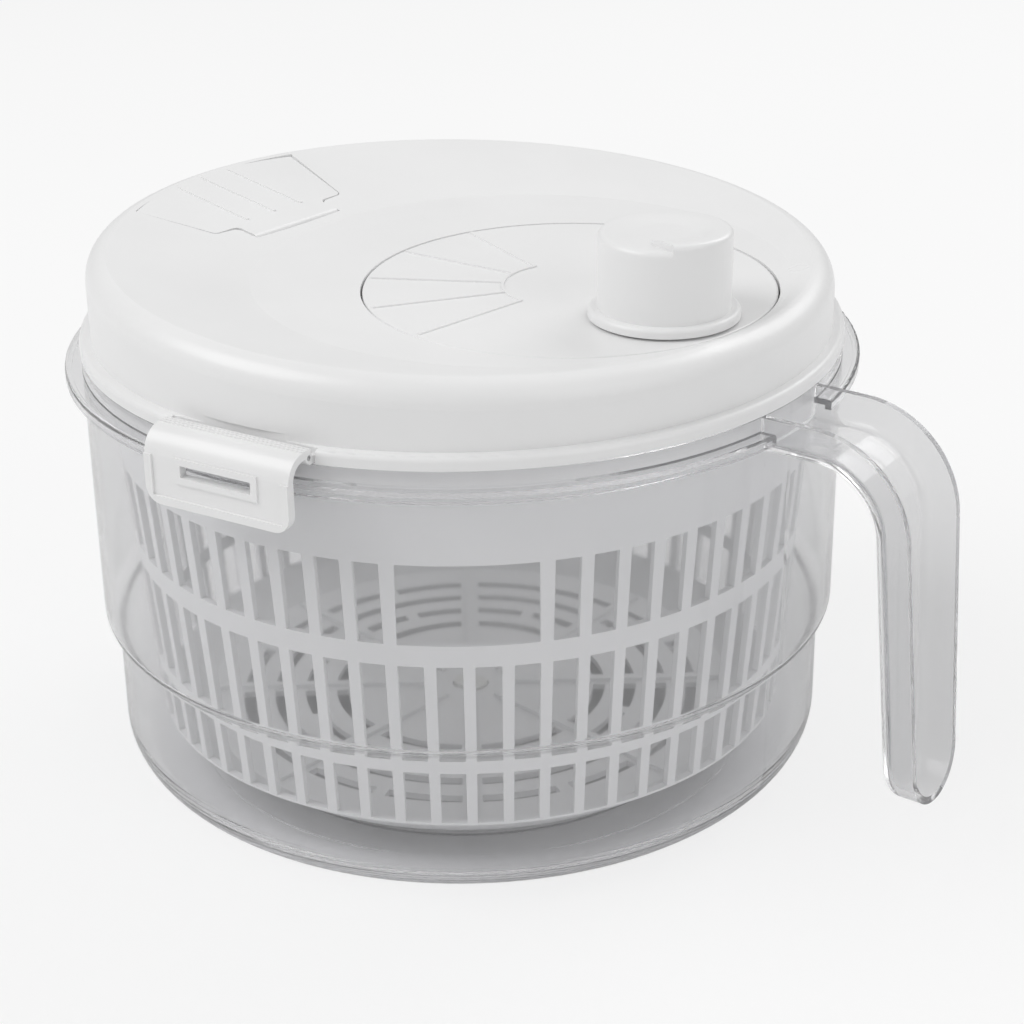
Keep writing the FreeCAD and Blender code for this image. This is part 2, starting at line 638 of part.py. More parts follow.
def latch_pin_rod():
    r, z = LATCH_PIVOT
    length = LATCH_KNUCKLE_W + 2 * (GAP + LATCH_EAR_W)
    return Part.makeCylinder(LATCH_PIN_R, length, Vector(r, -length / 2, z), Vector(0, 1, 0))


# ---------------------------------------------------------------- latches
def latch_section():
    """Section of a latch in the radius-height plane, as a face."""
    r, z = LATCH_PIVOT
    top = z + LATCH_RISE
    face = LATCH_FACE
    bend = LATCH_BEND_R
    t = LATCH_T
    c = Vector(face - bend, 0, top - bend)

    def on(radius, angle):
        a = math.radians(angle)
        return Vector(c.x + radius * math.cos(a), 0, c.z + radius * math.sin(a))

    edges = [
        Part.LineSegment(Vector(r, 0, top), on(bend, 90)).toShape(),
        Part.Arc(on(bend, 90), on(bend, 45), on(bend, 0)).toShape(),
        Part.LineSegment(on(bend, 0), Vector(face, 0, LATCH_LOW_Z)).toShape(),
        Part.LineSegment(Vector(face, 0, LATCH_LOW_Z), Vector(face - t, 0, LATCH_LOW_Z)).toShape(),
        Part.LineSegment(Vector(face - t, 0, LATCH_LOW_Z), on(bend - t, 0)).toShape(),
        Part.Arc(on(bend - t, 0), on(bend - t, 45), on(bend - t, 90)).toShape(),
        Part.LineSegment(on(bend - t, 90), Vector(r, 0, top - t)).toShape(),
        Part.LineSegment(Vector(r, 0, top - t), Vector(r, 0, top)).toShape(),
    ]
    return Part.Face(Part.Wire(edges))


def make_latch():
    r, z = LATCH_PIVOT
    half = LATCH_W / 2
    section = latch_section()
    section.translate(Vector(0, -half, 0))
    plate = section.extrude(Vector(0, LATCH_W, 0))

    def lower_corner(edge):
        box = edge.BoundBox
        return box.XLength > 1 and box.YLength < 0.01 and box.ZLength < 0.01 and box.ZMax < LATCH_LOW_Z + 0.1

    plate = fillet_where(plate, 5.0, lower_corner)
    knuckle = Part.makeCylinder(LATCH_KNUCKLE_R, LATCH_KNUCKLE_W, Vector(r, -LATCH_KNUCKLE_W / 2, z), Vector(0, 1, 0))
    border_t = 0.6
    border = bar(LATCH_FACE - EPS, LATCH_FACE + border_t, -half, half, LATCH_LOW_Z, LATCH_LOW_Z + 14)
    border = border.cut(bar(LATCH_FACE - 1, LATCH_FACE + 5, -half + 2.4, half - 2.4, LATCH_LOW_Z + 2.4, 200))

    def border_corner(edge):
        box = edge.BoundBox
        on_side = abs(abs(box.YMin) - half) < 0.01
        return box.XLength > 0.5 and box.YLength < 0.01 and box.ZMax < LATCH_LOW_Z + 0.1 and on_side

    border = fillet_where(border, 5.0, border_corner)
    length, height, mid = LATCH_SLOT
    frame = bar(LATCH_FACE - EPS, LATCH_FACE + 0.5, -length / 2 - 2, length / 2 + 2, mid - height / 2 - 2,
                mid + height / 2 + 2)
    window = bar(LATCH_FACE - 8, LATCH_FACE + 5, -length / 2, length / 2, mid - height / 2, mid + height / 2)
    catch = bar(FLANGE_R + GAP, LATCH_FACE - LATCH_T + EPS, -length / 2, length / 2,
                FLANGE_TOP_Z - FLANGE_T - LIP_DROP - 3.6, FLANGE_TOP_Z - FLANGE_T - LIP_DROP - 1.6)
    ridges = []
    for i in range(3):
        x = r + 0.8 + 1.2 * i
        ridges.append(bar(x - 0.25, x + 0.25, -half, half, z + LATCH_RISE - EPS, z + LATCH_RISE + 0.25))
    bore = Part.makeCylinder(LATCH_PIN_R + RUN, LATCH_W + 2, Vector(r, -half - 1, z), Vector(0, 1, 0))
    tools = [window, bore]
    for y in (LATCH_KNUCKLE_W / 2, -half - 1):
        width = half + 1 - LATCH_KNUCKLE_W / 2
        tools.append(Part.makeCylinder(LATCH_EAR_R + GAP, width, Vector(r, y, z), Vector(0, 1, 0)))
    return fuse([plate, knuckle, border, frame, catch] + ridges).cut(fuse(tools))


# ---------------------------------------------------------------- drain flap
def make_flap():
    plate = flap_blank(0.0, FLAP_PROUD - FLAP_T, FLAP_PROUD, 2.2)
    x_in = FLAP_IN - FLAP_STEP
    plate = plate.cut(placed(bar(x_in - 1, x_in + FLAP_BARREL_R, -FLAP_TAB_W, FLAP_TAB_W, -5, 5)))
    barrel = placed(flap_axle(FLAP_BARREL_R, FLAP_TAB_W))
    ribs = []
    for y in (-12.0, 0.0, 12.0):
        rib = placed(bar(2, FLAP_OUT - FLAP_STEP + 5, y - 0.5, y + 0.5, FLAP_PROUD - EPS, FLAP_PROUD + 0.4))
        ribs.append(rib.common(cyl(FLAP_OUT - 1.0, 100, 250)))
    bore = placed(flap_axle(FLAP_PIN_R + RUN, FLAP_TAB_W + 2))
    return fuse([plate, barrel] + ribs).cut(bore)


def make_flap_pin():
    return placed(flap_axle(FLAP_PIN_R, FLAP_TAB_W + 2 * FLAP_PIN_REACH))


# ---------------------------------------------------------------- gears
def gear_plan(teeth, addendum, dedendum, widen):
    """Gear outline with involute flanks and a tooth centred on +X; widen thickens the teeth."""
    pitch_r = MODULE * teeth / 2
    base_r = pitch_r * math.cos(math.radians(PRESSURE_ANGLE))
    tip_r = pitch_r + addendum * MODULE
    root_r = pitch_r - dedendum * MODULE

    def involute(r):
        a = math.acos(min(1.0, base_r / r))
        return math.tan(a) - a

    half = (math.pi * MODULE / 2 + widen) / (2 * pitch_r) + involute(pitch_r)
    start = max(base_r, root_r)
    flank = []
    for i in range(5):
        r = start + (tip_r - start) * i / 4
        flank.append((r, half - involute(r)))
    if root_r < start:
        flank.insert(0, (root_r, flank[0][1]))
    points = []
    for n in range(teeth):
        mid = 2 * math.pi * n / teeth
        for r, a in flank:
            points.append((r * math.cos(mid - a), r * math.sin(mid - a)))
        for r, a in reversed(flank):
            points.append((r * math.cos(mid + a), r * math.sin(mid + a)))
    return points


def make_ring_gear():
    """Internal gear with a web and a hub that is screwed to the crank disc."""
    pitch_r = MODULE * RING_TEETH / 2
    rim_r = pitch_r + DEDENDUM * MODULE + RING_RIM
    web_z = TOOTH_Z[1] + 0.4
    top = POCKET_UNDER_Z - 2.1
    body = cyl(rim_r, TOOTH_Z[0], top)
    teeth = prism(gear_plan(RING_TEETH, DEDENDUM, ADDENDUM, BACKLASH / 2), TOOTH_Z[0] - 1, web_z)
    teeth = turned(teeth, LID_TURN + 180)
    body = body.cut(teeth)
    body.translate(CRANK_AXIS)
    hub = cyl(CRANK_SHAFT_R - 2.0, top - EPS, DISC_TOP_Z - DISC_T - 1.5, CRANK_AXIS)
    key = bar(-20, 20, -CRANK_SHAFT_R * 0.6, CRANK_SHAFT_R * 0.6, 0, 300)
    key.translate(CRANK_AXIS)
    tools = [cyl(SCREW_R + SCREW_CLEAR, 100, 200, spot) for spot in crank_screw_spots()]
    return cut(fuse([body, hub.common(key)]), tools)


def crank_screw_spots():
    return [CRANK_AXIS + polar(4.2, LID_TURN + a) for a in (0, 180)]


def make_pinion():
    teeth = prism(gear_plan(PINION_TEETH, ADDENDUM, DEDENDUM, -BACKLASH / 2), TOOTH_Z[0], TOOTH_Z[1] - 0.6)
    teeth = turned(teeth, LID_TURN + 180)
    key = cyl(PINION_SHAFT_R, DRIVE_PLATE_Z, DRIVE_PLATE_Z + DRIVE_PLATE_T + 5)
    key = key.common(bar(-20, 20, -PINION_SHAFT_R * 0.65, PINION_SHAFT_R * 0.65, 0, 300))
    shaft = cyl(PINION_SHAFT_R, DRIVE_PLATE_Z + DRIVE_PLATE_T + 4, TOOTH_Z[0] + EPS)
    return fuse([teeth, shaft, key]).cut(cyl(SCREW_R, 100, DRIVE_PLATE_Z + 12))


# ---------------------------------------------------------------- lid internals
def make_gear_cover():
    plate = cyl(COVER_R, COVER_Z, COVER_Z + COVER_T)
    bush_seat = cyl(PINION_SHAFT_R + 4.6, COVER_Z - 1.5, COVER_Z + COVER_T + 0.6)
    ribs = []
    for i in range(8):
        rib = bar(PINION_SHAFT_R + 4, COVER_R - 12, -0.8, 0.8, COVER_Z - 1.0, COVER_Z + EPS)
        ribs.append(turned(rib, LID_TURN + 22.5 + 45 * i))
    body = fuse([plate, bush_seat] + ribs)
    tools = [cyl(PINION_SHAFT_R + 2.0, 100, 200)]
    for angle in COVER_SCREW_ANGLES:
        tools.append(cyl(SCREW_R + SCREW_CLEAR, 100, 200, polar(COVER_SCREW_ORBIT, LID_TURN + angle)))
    for angle in LATCH_ANGLES.values():
        half = LATCH_W / 2 + 2
        reach = LATCH_PIVOT[0] - LATCH_KNUCKLE_R - 1.5
        tools.append(turned(bar(reach - 2, 200, -half, half, 100, 200), angle))
    return cut(body, tools)


def make_cover_screws():
    spots = [polar(COVER_SCREW_ORBIT, LID_TURN + a) for a in COVER_SCREW_ANGLES]
    return Part.makeCompound([pan_screw(s, COVER_Z - 1.6, COVER_Z + COVER_T + 8) for s in spots])


def make_pinion_bush():
    r = PINION_SHAFT_R
    sleeve = ring(r + RUN, r + 2.0, COVER_Z - 1.5, COVER_Z + COVER_T + 0.6)
    flange = ring(r + RUN, r + 3.4, COVER_Z + COVER_T + 0.6, TOOTH_Z[0] - GAP)
    return fuse([sleeve, flange])


def make_drive_plate():
    z0, z1 = DRIVE_PLATE_Z, DRIVE_PLATE_Z + DRIVE_PLATE_T
    wall_in = basket_radius(DRIVE_PLATE_Z) - BASKET_WALL
    plate = cyl(wall_in - 2 * GAP, z0, z1)
    hub_top = COVER_Z - 1.5 - GAP
    hub = cyl(PINION_SHAFT_R + 4, z1 - EPS, hub_top)
    spokes = []
    for i in range(DRIVE_RIBS):
        rib = bar(PINION_SHAFT_R + 3, wall_in - 12, -0.9, 0.9, z1 - EPS, z1 + 3.0)
        spokes.append(turned(rib, (i + 0.5) * 360.0 / DRIVE_RIBS))
    body = fuse([plate, hub] + spokes)
    key_h = DRIVE_PLATE_T + 4
    bore_r = PINION_SHAFT_R + RUN
    key_y = PINION_SHAFT_R * 0.65 + RUN
    key = cyl(bore_r, z0 - 1, z0 + key_h).common(bar(-20, 20, -key_y, key_y, 0, 300))
    tools = [key, cyl(bore_r, z0 + key_h - EPS, 300)]
    windows = 2 * DRIVE_RIBS
    for i in range(windows):
        slot = bar(40, 82, -4.5, 4.5, z0 - 1, z1 + 1)
        tools.append(turned(slot, (i + 0.5) * 360.0 / windows))
    for i in range(DRIVE_RIBS):
        notch = bar(wall_in - DRIVE_RIB_IN - GAP, wall_in + 5, -DRIVE_RIB_W / 2 - GAP, DRIVE_RIB_W / 2 + GAP,
                    z0 - 1, z1 + 1)
        tools.append(turned(notch, i * 360.0 / DRIVE_RIBS))
    return cut(body, tools)


def make_drive_washer():
    return ring(SCREW_R + SCREW_CLEAR, PINION_SHAFT_R + 3, DRIVE_PLATE_Z - 1.0, DRIVE_PLATE_Z)


def make_drive_screw():
    return pan_screw(Vector(0, 0, 0), DRIVE_PLATE_Z - 2.6, DRIVE_PLATE_Z + 11)


# ---------------------------------------------------------------- crank
def make_crank_disc():
    z1 = DISC_TOP_Z
    z0 = z1 - DISC_T
    plate = cyl(DISC_R, z0, z1, CRANK_AXIS)
    plate = fillet_where(plate, 0.6, circle_edge_at(DISC_R, z1))
    rim = ring(DISC_R - 1.6, DISC_R, POCKET_Z + GAP, z0 + EPS, CRANK_AXIS)
    shaft = cyl(CRANK_SHAFT_R, POCKET_UNDER_Z - 1.5, z0 + EPS, CRANK_AXIS)
    ribs = []
    for angle in DISC_RIBS:
        rib = bar(DISC_RIB_IN, DISC_R - 1.2, -0.45, 0.45, z1 - EPS, z1 + 0.45)
        rib.rotate(Vector(0, 0, 0), UP, angle)
        rib.translate(CRANK_AXIS)
        ribs.append(rib)
    arc = Part.makeCylinder(DISC_RIB_IN + 0.4, 0.45 + EPS, Vector(0, 0, z1 - EPS), UP, DISC_RIBS[-1] - DISC_RIBS[0])
    arc = arc.cut(cyl(DISC_RIB_IN - 0.4, z1 - 1, z1 + 2))
    arc.rotate(Vector(0, 0, 0), UP, DISC_RIBS[0])
    arc.translate(CRANK_AXIS)
    stiff = []
    for i in range(6):
        web = bar(CRANK_SHAFT_R - 1, DISC_R - 1, -0.7, 0.7, POCKET_Z + 2 * GAP, z0 + EPS)
        web.rotate(Vector(0, 0, 0), UP, 30 + 60 * i)
        web.translate(CRANK_AXIS)
        stiff.append(web)
    body = fuse([plate, rim, shaft, arc] + ribs + stiff)
    hub_r = CRANK_SHAFT_R - 2.0
    key = cyl(hub_r, 100, z0 + 0.8, CRANK_AXIS)
    flat = bar(-20, 20, -CRANK_SHAFT_R * 0.6, CRANK_SHAFT_R * 0.6, 0, 300)
    flat.translate(CRANK_AXIS)
    tools = [key.common(flat), cyl(SPINDLE_R, 100, 200, KNOB_AXIS)]
    tools += [cyl(SCREW_R, 100, z1 - 0.8, spot) for spot in crank_screw_spots()]
    return cut(body, tools)


def make_crank_bush():
    r = CRANK_SHAFT_R
    sleeve = ring(r + RUN, r + 2.0, POCKET_UNDER_Z - 1.5, POCKET_Z)
    flange = ring(r + RUN, r + 4.0, POCKET_UNDER_Z - 1.8, POCKET_UNDER_Z - 1.5)
    body = fuse([sleeve, flange])
    body.translate(CRANK_AXIS)
    return body


def make_crank_screws():
    web = TOOTH_Z[1] + 0.4
    return Part.makeCompound([pan_screw(s, web - 1.2, DISC_TOP_Z - 1.2, 1.2) for s in crank_screw_spots()])


# ---------------------------------------------------------------- knob
def make_spindle():
    """Shouldered spindle fixed in the crank disc; the knob turns on it."""
    z0 = DISC_TOP_Z - DISC_T
    body = fuse([cyl(SPINDLE_R, z0, SPINDLE_TOP_Z, KNOB_AXIS),
                 cyl(SPINDLE_R + 2.5, DISC_TOP_Z, DISC_TOP_Z + 0.8, KNOB_AXIS)])
    return body.cut(cyl(SCREW_R, SPINDLE_TOP_Z - 11, KNOB_TOP_Z, KNOB_AXIS))


def make_knob():
    """Hollow knob with a flared foot; its open top is closed by the cap."""
    z0 = DISC_TOP_Z + GAP + 0.4
    top = KNOB_BODY_TOP_Z
    body = cyl(KNOB_R, z0, top)
    body = fillet_where(body, 1.2, circle_edge_at(KNOB_R, top))
    foot = cyl(KNOB_RING_R, z0, z0 + KNOB_RING_H)
    foot = fillet_where(foot, 1.2, circle_edge_at(KNOB_RING_R, z0 + KNOB_RING_H))
    body = fuse([body, foot])
    roof = top - KNOB_WALL
    hollow = cyl(KNOB_R - KNOB_WALL, z0 - 1, roof)
    hub = cyl(KNOB_WELL_R + 1.8, z0 + 1.2, roof + EPS)
    webs = [turned(bar(SPINDLE_R + 1, KNOB_R - 1, -0.7, 0.7, z0 + 4, roof + EPS), 60 * i) for i in range(6)]
    hollow = hollow.cut(fuse([hub] + webs))
    bore = cyl(SPINDLE_R + RUN, z0 - 1, SPINDLE_TOP_Z)
    well = cyl(KNOB_WELL_R, SPINDLE_TOP_Z - GAP, top + 1)
    body = body.cut(fuse([hollow, bore, well]))
    body.translate(KNOB_AXIS)
    return body


def make_knob_cap():
    """Cap with a spiral ramp: highest beside the step, falling away round the axis."""
    r = KNOB_R - KNOB_CAP_INSET
    base = KNOB_BODY_TOP_Z + KNOB_CAP_T
    steps = KNOB_RAMP_STEPS
    pieces = [cyl(r, KNOB_BODY_TOP_Z, base), cyl(KNOB_WELL_R - RUN, KNOB_BODY_TOP_Z - 2.0, KNOB_BODY_TOP_Z + EPS)]
    for i in range(steps):
        rise = KNOB_RAMP * (1 - i / steps)
        wedge = Part.makeCylinder(r, rise + EPS, Vector(0, 0, base - EPS), UP, KNOB_RAMP_TURN / steps)
        pieces.append(turned(wedge, KNOB_STEP_ANGLE + KNOB_RAMP_TURN * i / steps))
    cap = fuse(pieces)
    cap.translate(KNOB_AXIS)
    return cap


def make_knob_screw():
    head_top = SPINDLE_TOP_Z + KNOB_WASHER_T + 1.8
    screw = pan_screw(Vector(0, 0, 0), -head_top, -(SPINDLE_TOP_Z - 9), 1.8)
    screw.rotate(Vector(0, 0, 0), Vector(1, 0, 0), 180)
    screw.translate(KNOB_AXIS)
    return screw


def make_knob_washer():
    top = SPINDLE_TOP_Z + KNOB_WASHER_T
    return ring(SCREW_R + SCREW_CLEAR, KNOB_WELL_R - GAP, SPINDLE_TOP_Z, top, KNOB_AXIS)


# ---------------------------------------------------------------- assembly
def main():
    os.makedirs("parts", exist_ok=True)
    nodes = {
        "bowl": make_bowl(),
        "bowl_handle": make_handle(),
        "pivot_pin": make_pivot_pin(),
        "pivot_cup": make_pivot_cup(),
        "basket": make_basket(),
        "lid_shell": make_lid_shell(),
        "gear_cover": make_gear_cover(),
        "gear_cover_screws": make_cover_screws(),
        "pinion": make_pinion(),
        "pinion_bush": make_pinion_bush(),
        "drive_plate": make_drive_plate(),
        "drive_plate_washer": make_drive_washer(),
        "drive_plate_screw": make_drive_screw(),
        "ring_gear": make_ring_gear(),
        "crank_disc": make_crank_disc(),
        "crank_bush": make_crank_bush(),
        "crank_screws": make_crank_screws(),
        "knob_spindle": make_spindle(),
        "knob": make_knob(),
        "knob_cap": make_knob_cap(),
        "knob_washer": make_knob_washer(),
        "knob_screw": make_knob_screw(),
        "drain_flap": make_flap(),
        "drain_flap_pin": make_flap_pin(),
    }
    for name, angle in LATCH_ANGLES.items():
        nodes[name] = turned(make_latch(), angle)
        nodes[name + "_pin"] = turned(latch_pin_rod(), angle)
    for name, shape in nodes.items():
        print(name, "solids", len(shape.Solids), "valid", shape.isValid(), "volume", round(shape.Volume, 1))
        shape.exportStep("parts/" + name + ".step")


main()
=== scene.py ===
import bpy, bmesh, json, math
from mathutils import Matrix, Vector


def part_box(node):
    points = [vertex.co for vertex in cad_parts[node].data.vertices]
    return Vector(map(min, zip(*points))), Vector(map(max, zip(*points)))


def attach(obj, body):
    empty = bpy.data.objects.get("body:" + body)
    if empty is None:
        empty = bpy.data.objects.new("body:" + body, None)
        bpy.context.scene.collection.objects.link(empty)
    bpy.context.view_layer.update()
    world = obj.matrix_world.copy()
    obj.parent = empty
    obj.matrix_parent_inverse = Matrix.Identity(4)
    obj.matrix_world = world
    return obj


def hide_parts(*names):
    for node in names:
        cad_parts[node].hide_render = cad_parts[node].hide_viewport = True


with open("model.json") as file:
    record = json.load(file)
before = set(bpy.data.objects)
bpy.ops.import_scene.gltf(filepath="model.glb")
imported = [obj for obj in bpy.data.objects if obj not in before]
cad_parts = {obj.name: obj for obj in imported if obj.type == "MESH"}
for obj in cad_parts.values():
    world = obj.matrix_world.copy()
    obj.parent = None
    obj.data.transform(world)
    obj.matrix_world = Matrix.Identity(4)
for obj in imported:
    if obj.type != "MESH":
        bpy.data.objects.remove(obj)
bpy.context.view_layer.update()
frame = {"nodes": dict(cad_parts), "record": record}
nodes = frame["nodes"]
scene = bpy.context.scene


# ------------------------------------------------------------------ materials
def new_material(name):
    mat = bpy.data.materials.new(name)
    mat.use_nodes = True
    nt = mat.node_tree
    nt.nodes.clear()
    out = nt.nodes.new("ShaderNodeOutputMaterial")
    return mat, nt, out


def noise(nt, scale, detail=3.0, rough=0.5):
    coord = nt.nodes.new("ShaderNodeTexCoord")
    tex = nt.nodes.new("ShaderNodeTexNoise")
    tex.inputs["Scale"].default_value = scale
    tex.inputs["Detail"].default_value = detail
    tex.inputs["Roughness"].default_value = rough
    nt.links.new(coord.outputs["Object"], tex.inputs["Vector"])
    return tex.outputs["Fac"]


def ramp(nt, fac, stops):
    node = nt.nodes.new("ShaderNodeValToRGB")
    el = node.color_ramp.elements
    el[0].position, el[0].color = stops[0][0], (*stops[0][1], 1)
    el[1].position, el[1].color = stops[-1][0], (*stops[-1][1], 1)
    for pos, col in stops[1:-1]:
        e = el.new(pos)
        e.color = (*col, 1)
    nt.links.new(fac, node.inputs["Fac"])
    return node.outputs["Color"]


def to_range(nt, fac, low, high):
    node = nt.nodes.new("ShaderNodeMapRange")
    node.inputs["To Min"].default_value = low
    node.inputs["To Max"].default_value = high
    nt.links.new(fac, node.inputs["Value"])
    return node.outputs["Result"]


def bump(nt, height, strength, distance):
    node = nt.nodes.new("ShaderNodeBump")
    node.inputs["Strength"].default_value = strength
    node.inputs["Distance"].default_value = distance
    nt.links.new(height, node.inputs["Height"])
    return node.outputs["Normal"]


def moulded(name, low, high, rough, grain=900.0, spec=0.5, depth=0.00004):
    """Moulded opaque plastic: faint cloudiness of colour and gloss, very fine surface grain."""
    mat, nt, out = new_material(name)
    p = nt.nodes.new("ShaderNodeBsdfPrincipled")
    nt.links.new(ramp(nt, noise(nt, 22.0, 4.0), [(0.3, low), (0.7, high)]), p.inputs["Base Color"])
    nt.links.new(to_range(nt, noise(nt, 60.0, 5.0), rough - 0.05, rough + 0.06), p.inputs["Roughness"])
    nt.links.new(bump(nt, noise(nt, grain, 2.0), 0.25, depth), p.inputs["Normal"])
    p.inputs["Specular IOR Level"].default_value = spec
    p.inputs["IOR"].default_value = 1.5
    nt.links.new(p.outputs[0], out.inputs["Surface"])
    return mat


def clear_plastic(name, tint, haze):
    """Clear moulded plastic with a faint milky haze; lamp light passes it with nearly the same tint."""
    mat, nt, out = new_material(name)
    p = nt.nodes.new("ShaderNodeBsdfPrincipled")
    p.inputs["Transmission Weight"].default_value = 1.0 - haze
    p.inputs["IOR"].default_value = 1.3
    p.inputs["Specular IOR Level"].default_value = 0.6
    low = tuple(c * 0.985 for c in tint)
    nt.links.new(ramp(nt, noise(nt, 14.0, 3.0), [(0.35, low), (0.65, tint)]), p.inputs["Base Color"])
    nt.links.new(to_range(nt, noise(nt, 45.0, 4.0), 0.03, 0.09), p.inputs["Roughness"])
    clear = nt.nodes.new("ShaderNodeBsdfTransparent")
    clear.inputs["Color"].default_value = (0.95, 0.95, 0.955, 1)
    path = nt.nodes.new("ShaderNodeLightPath")
    either = nt.nodes.new("ShaderNodeMath")
    either.operation = "MAXIMUM"
    nt.links.new(path.outputs["Is Shadow Ray"], either.inputs[0])
    nt.links.new(path.outputs["Is Diffuse Ray"], either.inputs[1])
    mix = nt.nodes.new("ShaderNodeMixShader")
    nt.links.new(either.outputs[0], mix.inputs[0])
    nt.links.new(p.outputs[0], mix.inputs[1])
    nt.links.new(clear.outputs[0], mix.inputs[2])
    nt.links.new(mix.outputs[0], out.inputs["Surface"])
    return mat


def steel(name):
    mat, nt, out = new_material(name)
    p = nt.nodes.new("ShaderNodeBsdfPrincipled")
    p.inputs["Metallic"].default_value = 1.0
    nt.links.new(ramp(nt, noise(nt, 80.0, 3.0), [(0.3, (0.5, 0.5, 0.5)), (0.7, (0.62, 0.62, 0.63))]), p.inputs["Base Color"])
    nt.links.new(to_range(nt, noise(nt, 300.0, 2.0), 0.2, 0.36), p.inputs["Roughness"])
    nt.links.new(p.outputs[0], out.inputs["Surface"])
    return mat


WHITE = moulded("white_moulding", (0.86, 0.86, 0.86), (0.89, 0.89, 0.89), 0.3)
BASKET = moulded("basket_moulding", (0.84, 0.845, 0.85), (0.87, 0.87, 0.875), 0.35, grain=700.0)
BEARING = moulded("bearing_moulding", (0.78, 0.78, 0.76), (0.83, 0.83, 0.81), 0.45, grain=600.0)
CLEAR = clear_plastic("clear_moulding", (0.9, 0.9, 0.905), 0.07)
STEEL = steel("stainless_steel")
SLOT_MATERIAL = {"clear_plastic": CLEAR, "white_plastic": WHITE, "basket_plastic": BASKET,
                 "bearing_plastic": BEARING, "steel": STEEL}


def dress(obj, mat):
    obj.data.materials.clear()
    obj.data.materials.append(mat)


def smooth(obj, angle=32.0):
    mesh = obj.data
    mesh.shade_smooth()
    mesh.set_sharp_from_angle(angle=math.radians(angle))


for part in frame["record"]["subparts"]:
    dress(nodes[part["node"]], SLOT_MATERIAL[part["material_slot"]])
    smooth(nodes[part["node"]])


# ------------------------------------------------------------------ knob's spiral top
def soft(t):
    t = min(1.0, max(0.0, t))
    return t * t * (3 - 2 * t)


def make_knob_top():
    """Smooth spiral top: one slanting step at the edge that fades out towards the middle."""
    low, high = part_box("knob_cap")
    body_low, body_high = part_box("knob")
    cx = (low.x + high.x) / 2
    cy = (low.y + high.y) / 2
    radius = 0.01872
    rise = 0.0019
    base = high.z - rise
    edge = 0.0016
    turn = 180
    rings = [(radius - edge) * i / 22 for i in range(1, 23)]
    bm = bmesh.new()
    rows = []
    for r in rings:
        rows.append((r, 0.0, soft((r / radius - 0.38) / 0.4)))
    for i in range(1, 9):
        a = math.radians(90 * i / 8)
        rows.append((radius - edge + edge * math.sin(a), edge * (1 - math.cos(a)), 1.0))
    grid = []
    for r, drop, share in rows:
        start = -51.0 - 64.0 * (1 - min(1.0, r / (radius - edge)))
        row = []
        for j in range(turn + 1):
            a = math.radians(start + 360.0 * j / turn)
            z = base - drop + rise * share * (1 - j / turn)
            row.append(bm.verts.new((cx + r * math.cos(a), cy + r * math.sin(a), z)))
        grid.append(row)
    foot = []
    for v in grid[-1]:
        foot.append(bm.verts.new((v.co.x, v.co.y, body_high.z - 0.0014)))
    grid.append(foot)
    centre = bm.verts.new((cx, cy, base))
    under = bm.verts.new((cx, cy, body_high.z - 0.0014))
    for j in range(turn):
        bm.faces.new((centre, grid[0][j], grid[0][j + 1]))
        bm.faces.new((under, foot[j + 1], foot[j]))
        for k in range(len(grid) - 1):
            bm.faces.new((grid[k][j], grid[k + 1][j], grid[k + 1][j + 1], grid[k][j + 1]))
    for k in range(len(grid) - 1):
        bm.faces.new((grid[k][turn], grid[k + 1][turn], grid[k + 1][0], grid[k][0]))
    bmesh.ops.remove_doubles(bm, verts=bm.verts, dist=0.0000005)
    bmesh.ops.dissolve_degenerate(bm, edges=bm.edges, dist=0.0000005)
    bmesh.ops.recalc_face_normals(bm, faces=bm.faces)
    mesh = bpy.data.meshes.new("knob_top")
    bm.to_mesh(mesh)
    bm.free()
    obj = bpy.data.objects.new("knob_top", mesh)
    scene.collection.objects.link(obj)
    dress(obj, WHITE)
    smooth(obj, 40.0)
    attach(obj, "knob")
    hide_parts("knob_cap")


make_knob_top()


# ------------------------------------------------------------------ floor, light, camera
def stage_material():
    """Plain white floor: seen mostly as white, and it still takes the object's shadow."""
    mat, nt, out = new_material("studio_floor")
    p = nt.nodes.new("ShaderNodeBsdfPrincipled")
    p.inputs["Roughness"].default_value = 0.9
    p.inputs["Specular IOR Level"].default_value = 0.1
    nt.links.new(ramp(nt, noise(nt, 3.0, 2.0), [(0.3, (0.84, 0.84, 0.84)), (0.7, (0.86, 0.86, 0.86))]), p.inputs["Base Color"])
    glow = nt.nodes.new("ShaderNodeEmission")
    glow.inputs["Strength"].default_value = 1.0
    path = nt.nodes.new("ShaderNodeLightPath")
    share = nt.nodes.new("ShaderNodeMath")
    share.operation = "MULTIPLY"
    share.inputs[1].default_value = 0.72
    nt.links.new(path.outputs["Is Camera Ray"], share.inputs[0])
    mix = nt.nodes.new("ShaderNodeMixShader")
    nt.links.new(share.outputs[0], mix.inputs[0])
    nt.links.new(p.outputs[0], mix.inputs[1])
    nt.links.new(glow.outputs[0], mix.inputs[2])
    nt.links.new(mix.outputs[0], out.inputs["Surface"])
    return mat


def make_floor():
    bm = bmesh.new()
    bmesh.ops.create_grid(bm, x_segments=8, y_segments=8, size=6.0)
    mesh = bpy.data.meshes.new("floor")
    bm.to_mesh(mesh)
    bm.free()
    obj = bpy.data.objects.new("floor", mesh)
    scene.collection.objects.link(obj)
    obj.location.z = -0.0002
    mesh.materials.append(stage_material())


def area_light(name, place, target, size, power):
    light = bpy.data.lights.new(name, "AREA")
    light.shape = "DISK"
    light.size = size
    light.energy = power
    obj = bpy.data.objects.new(name, light)
    obj.location = place
    obj.rotation_euler = (Vector(target) - Vector(place)).to_track_quat("-Z", "Y").to_euler()
    scene.collection.objects.link(obj)


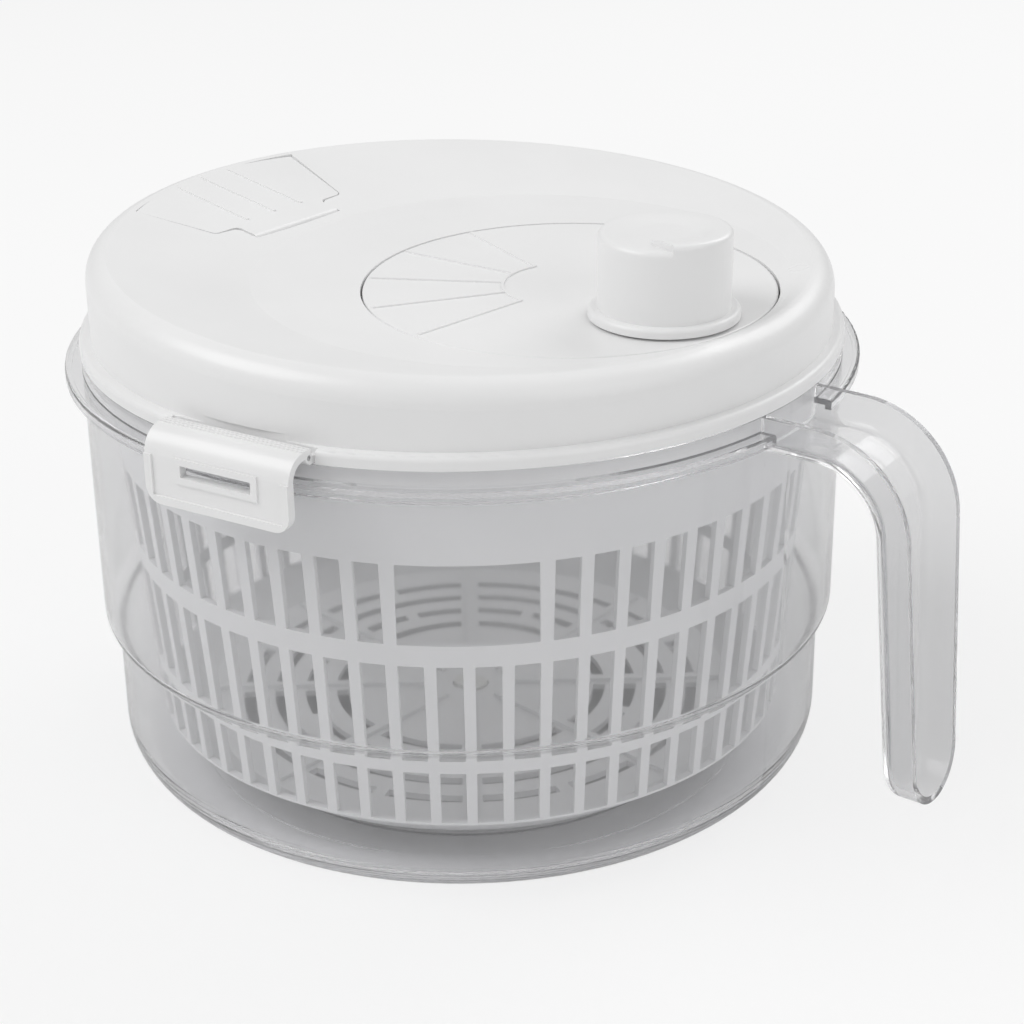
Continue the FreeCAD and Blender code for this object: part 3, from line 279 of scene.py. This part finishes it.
def make_world():
    world = bpy.data.worlds.new("studio")
    scene.world = world
    world.use_nodes = True
    nt = world.node_tree
    nt.nodes.clear()
    out = nt.nodes.new("ShaderNodeOutputWorld")
    lit = nt.nodes.new("ShaderNodeBackground")
    lit.inputs["Color"].default_value = (1, 1, 1, 1)
    lit.inputs["Strength"].default_value = 0.5
    seen = nt.nodes.new("ShaderNodeBackground")
    seen.inputs["Color"].default_value = (1, 1, 1, 1)
    seen.inputs["Strength"].default_value = 1.0
    path = nt.nodes.new("ShaderNodeLightPath")
    either = nt.nodes.new("ShaderNodeMath")
    either.operation = "MAXIMUM"
    nt.links.new(path.outputs["Is Camera Ray"], either.inputs[0])
    nt.links.new(path.outputs["Is Transmission Ray"], either.inputs[1])
    mix = nt.nodes.new("ShaderNodeMixShader")
    nt.links.new(either.outputs[0], mix.inputs[0])
    nt.links.new(lit.outputs[0], mix.inputs[1])
    nt.links.new(seen.outputs[0], mix.inputs[2])
    nt.links.new(mix.outputs[0], out.inputs["Surface"])


def make_camera():
    azimuth = math.radians(126.34)
    pitch = math.radians(24.47)
    roll = math.radians(-0.75)
    forward = Vector((math.cos(azimuth) * math.cos(pitch), math.sin(azimuth) * math.cos(pitch), -math.sin(pitch)))
    right = forward.cross(Vector((0, 0, 1))).normalized()
    up = right.cross(forward)
    r2 = right * math.cos(roll) + up * math.sin(roll)
    u2 = up * math.cos(roll) - right * math.sin(roll)
    cam = bpy.data.cameras.new("camera")
    cam.sensor_width = 36.0
    cam.lens = 2241.24 / 1024 * 36.0
    cam.clip_start = 0.01
    obj = bpy.data.objects.new("camera", cam)
    rot = Matrix((r2, u2, -forward)).transposed()
    obj.matrix_world = Matrix.Translation(Vector((0.3943, -0.5120, 0.3662))) @ rot.to_4x4()
    scene.collection.objects.link(obj)
    scene.camera = obj


make_floor()
make_world()
make_camera()
area_light("key", (-0.9, -1.0, 1.6), (0, 0, 0.08), 1.5, 17)
area_light("fill", (1.6, -0.2, 1.0), (0, 0, 0.08), 1.4, 5)
area_light("back", (0.2, 1.5, 1.3), (0, 0, 0.1), 1.2, 9)
scene.view_settings.view_transform = "Standard"
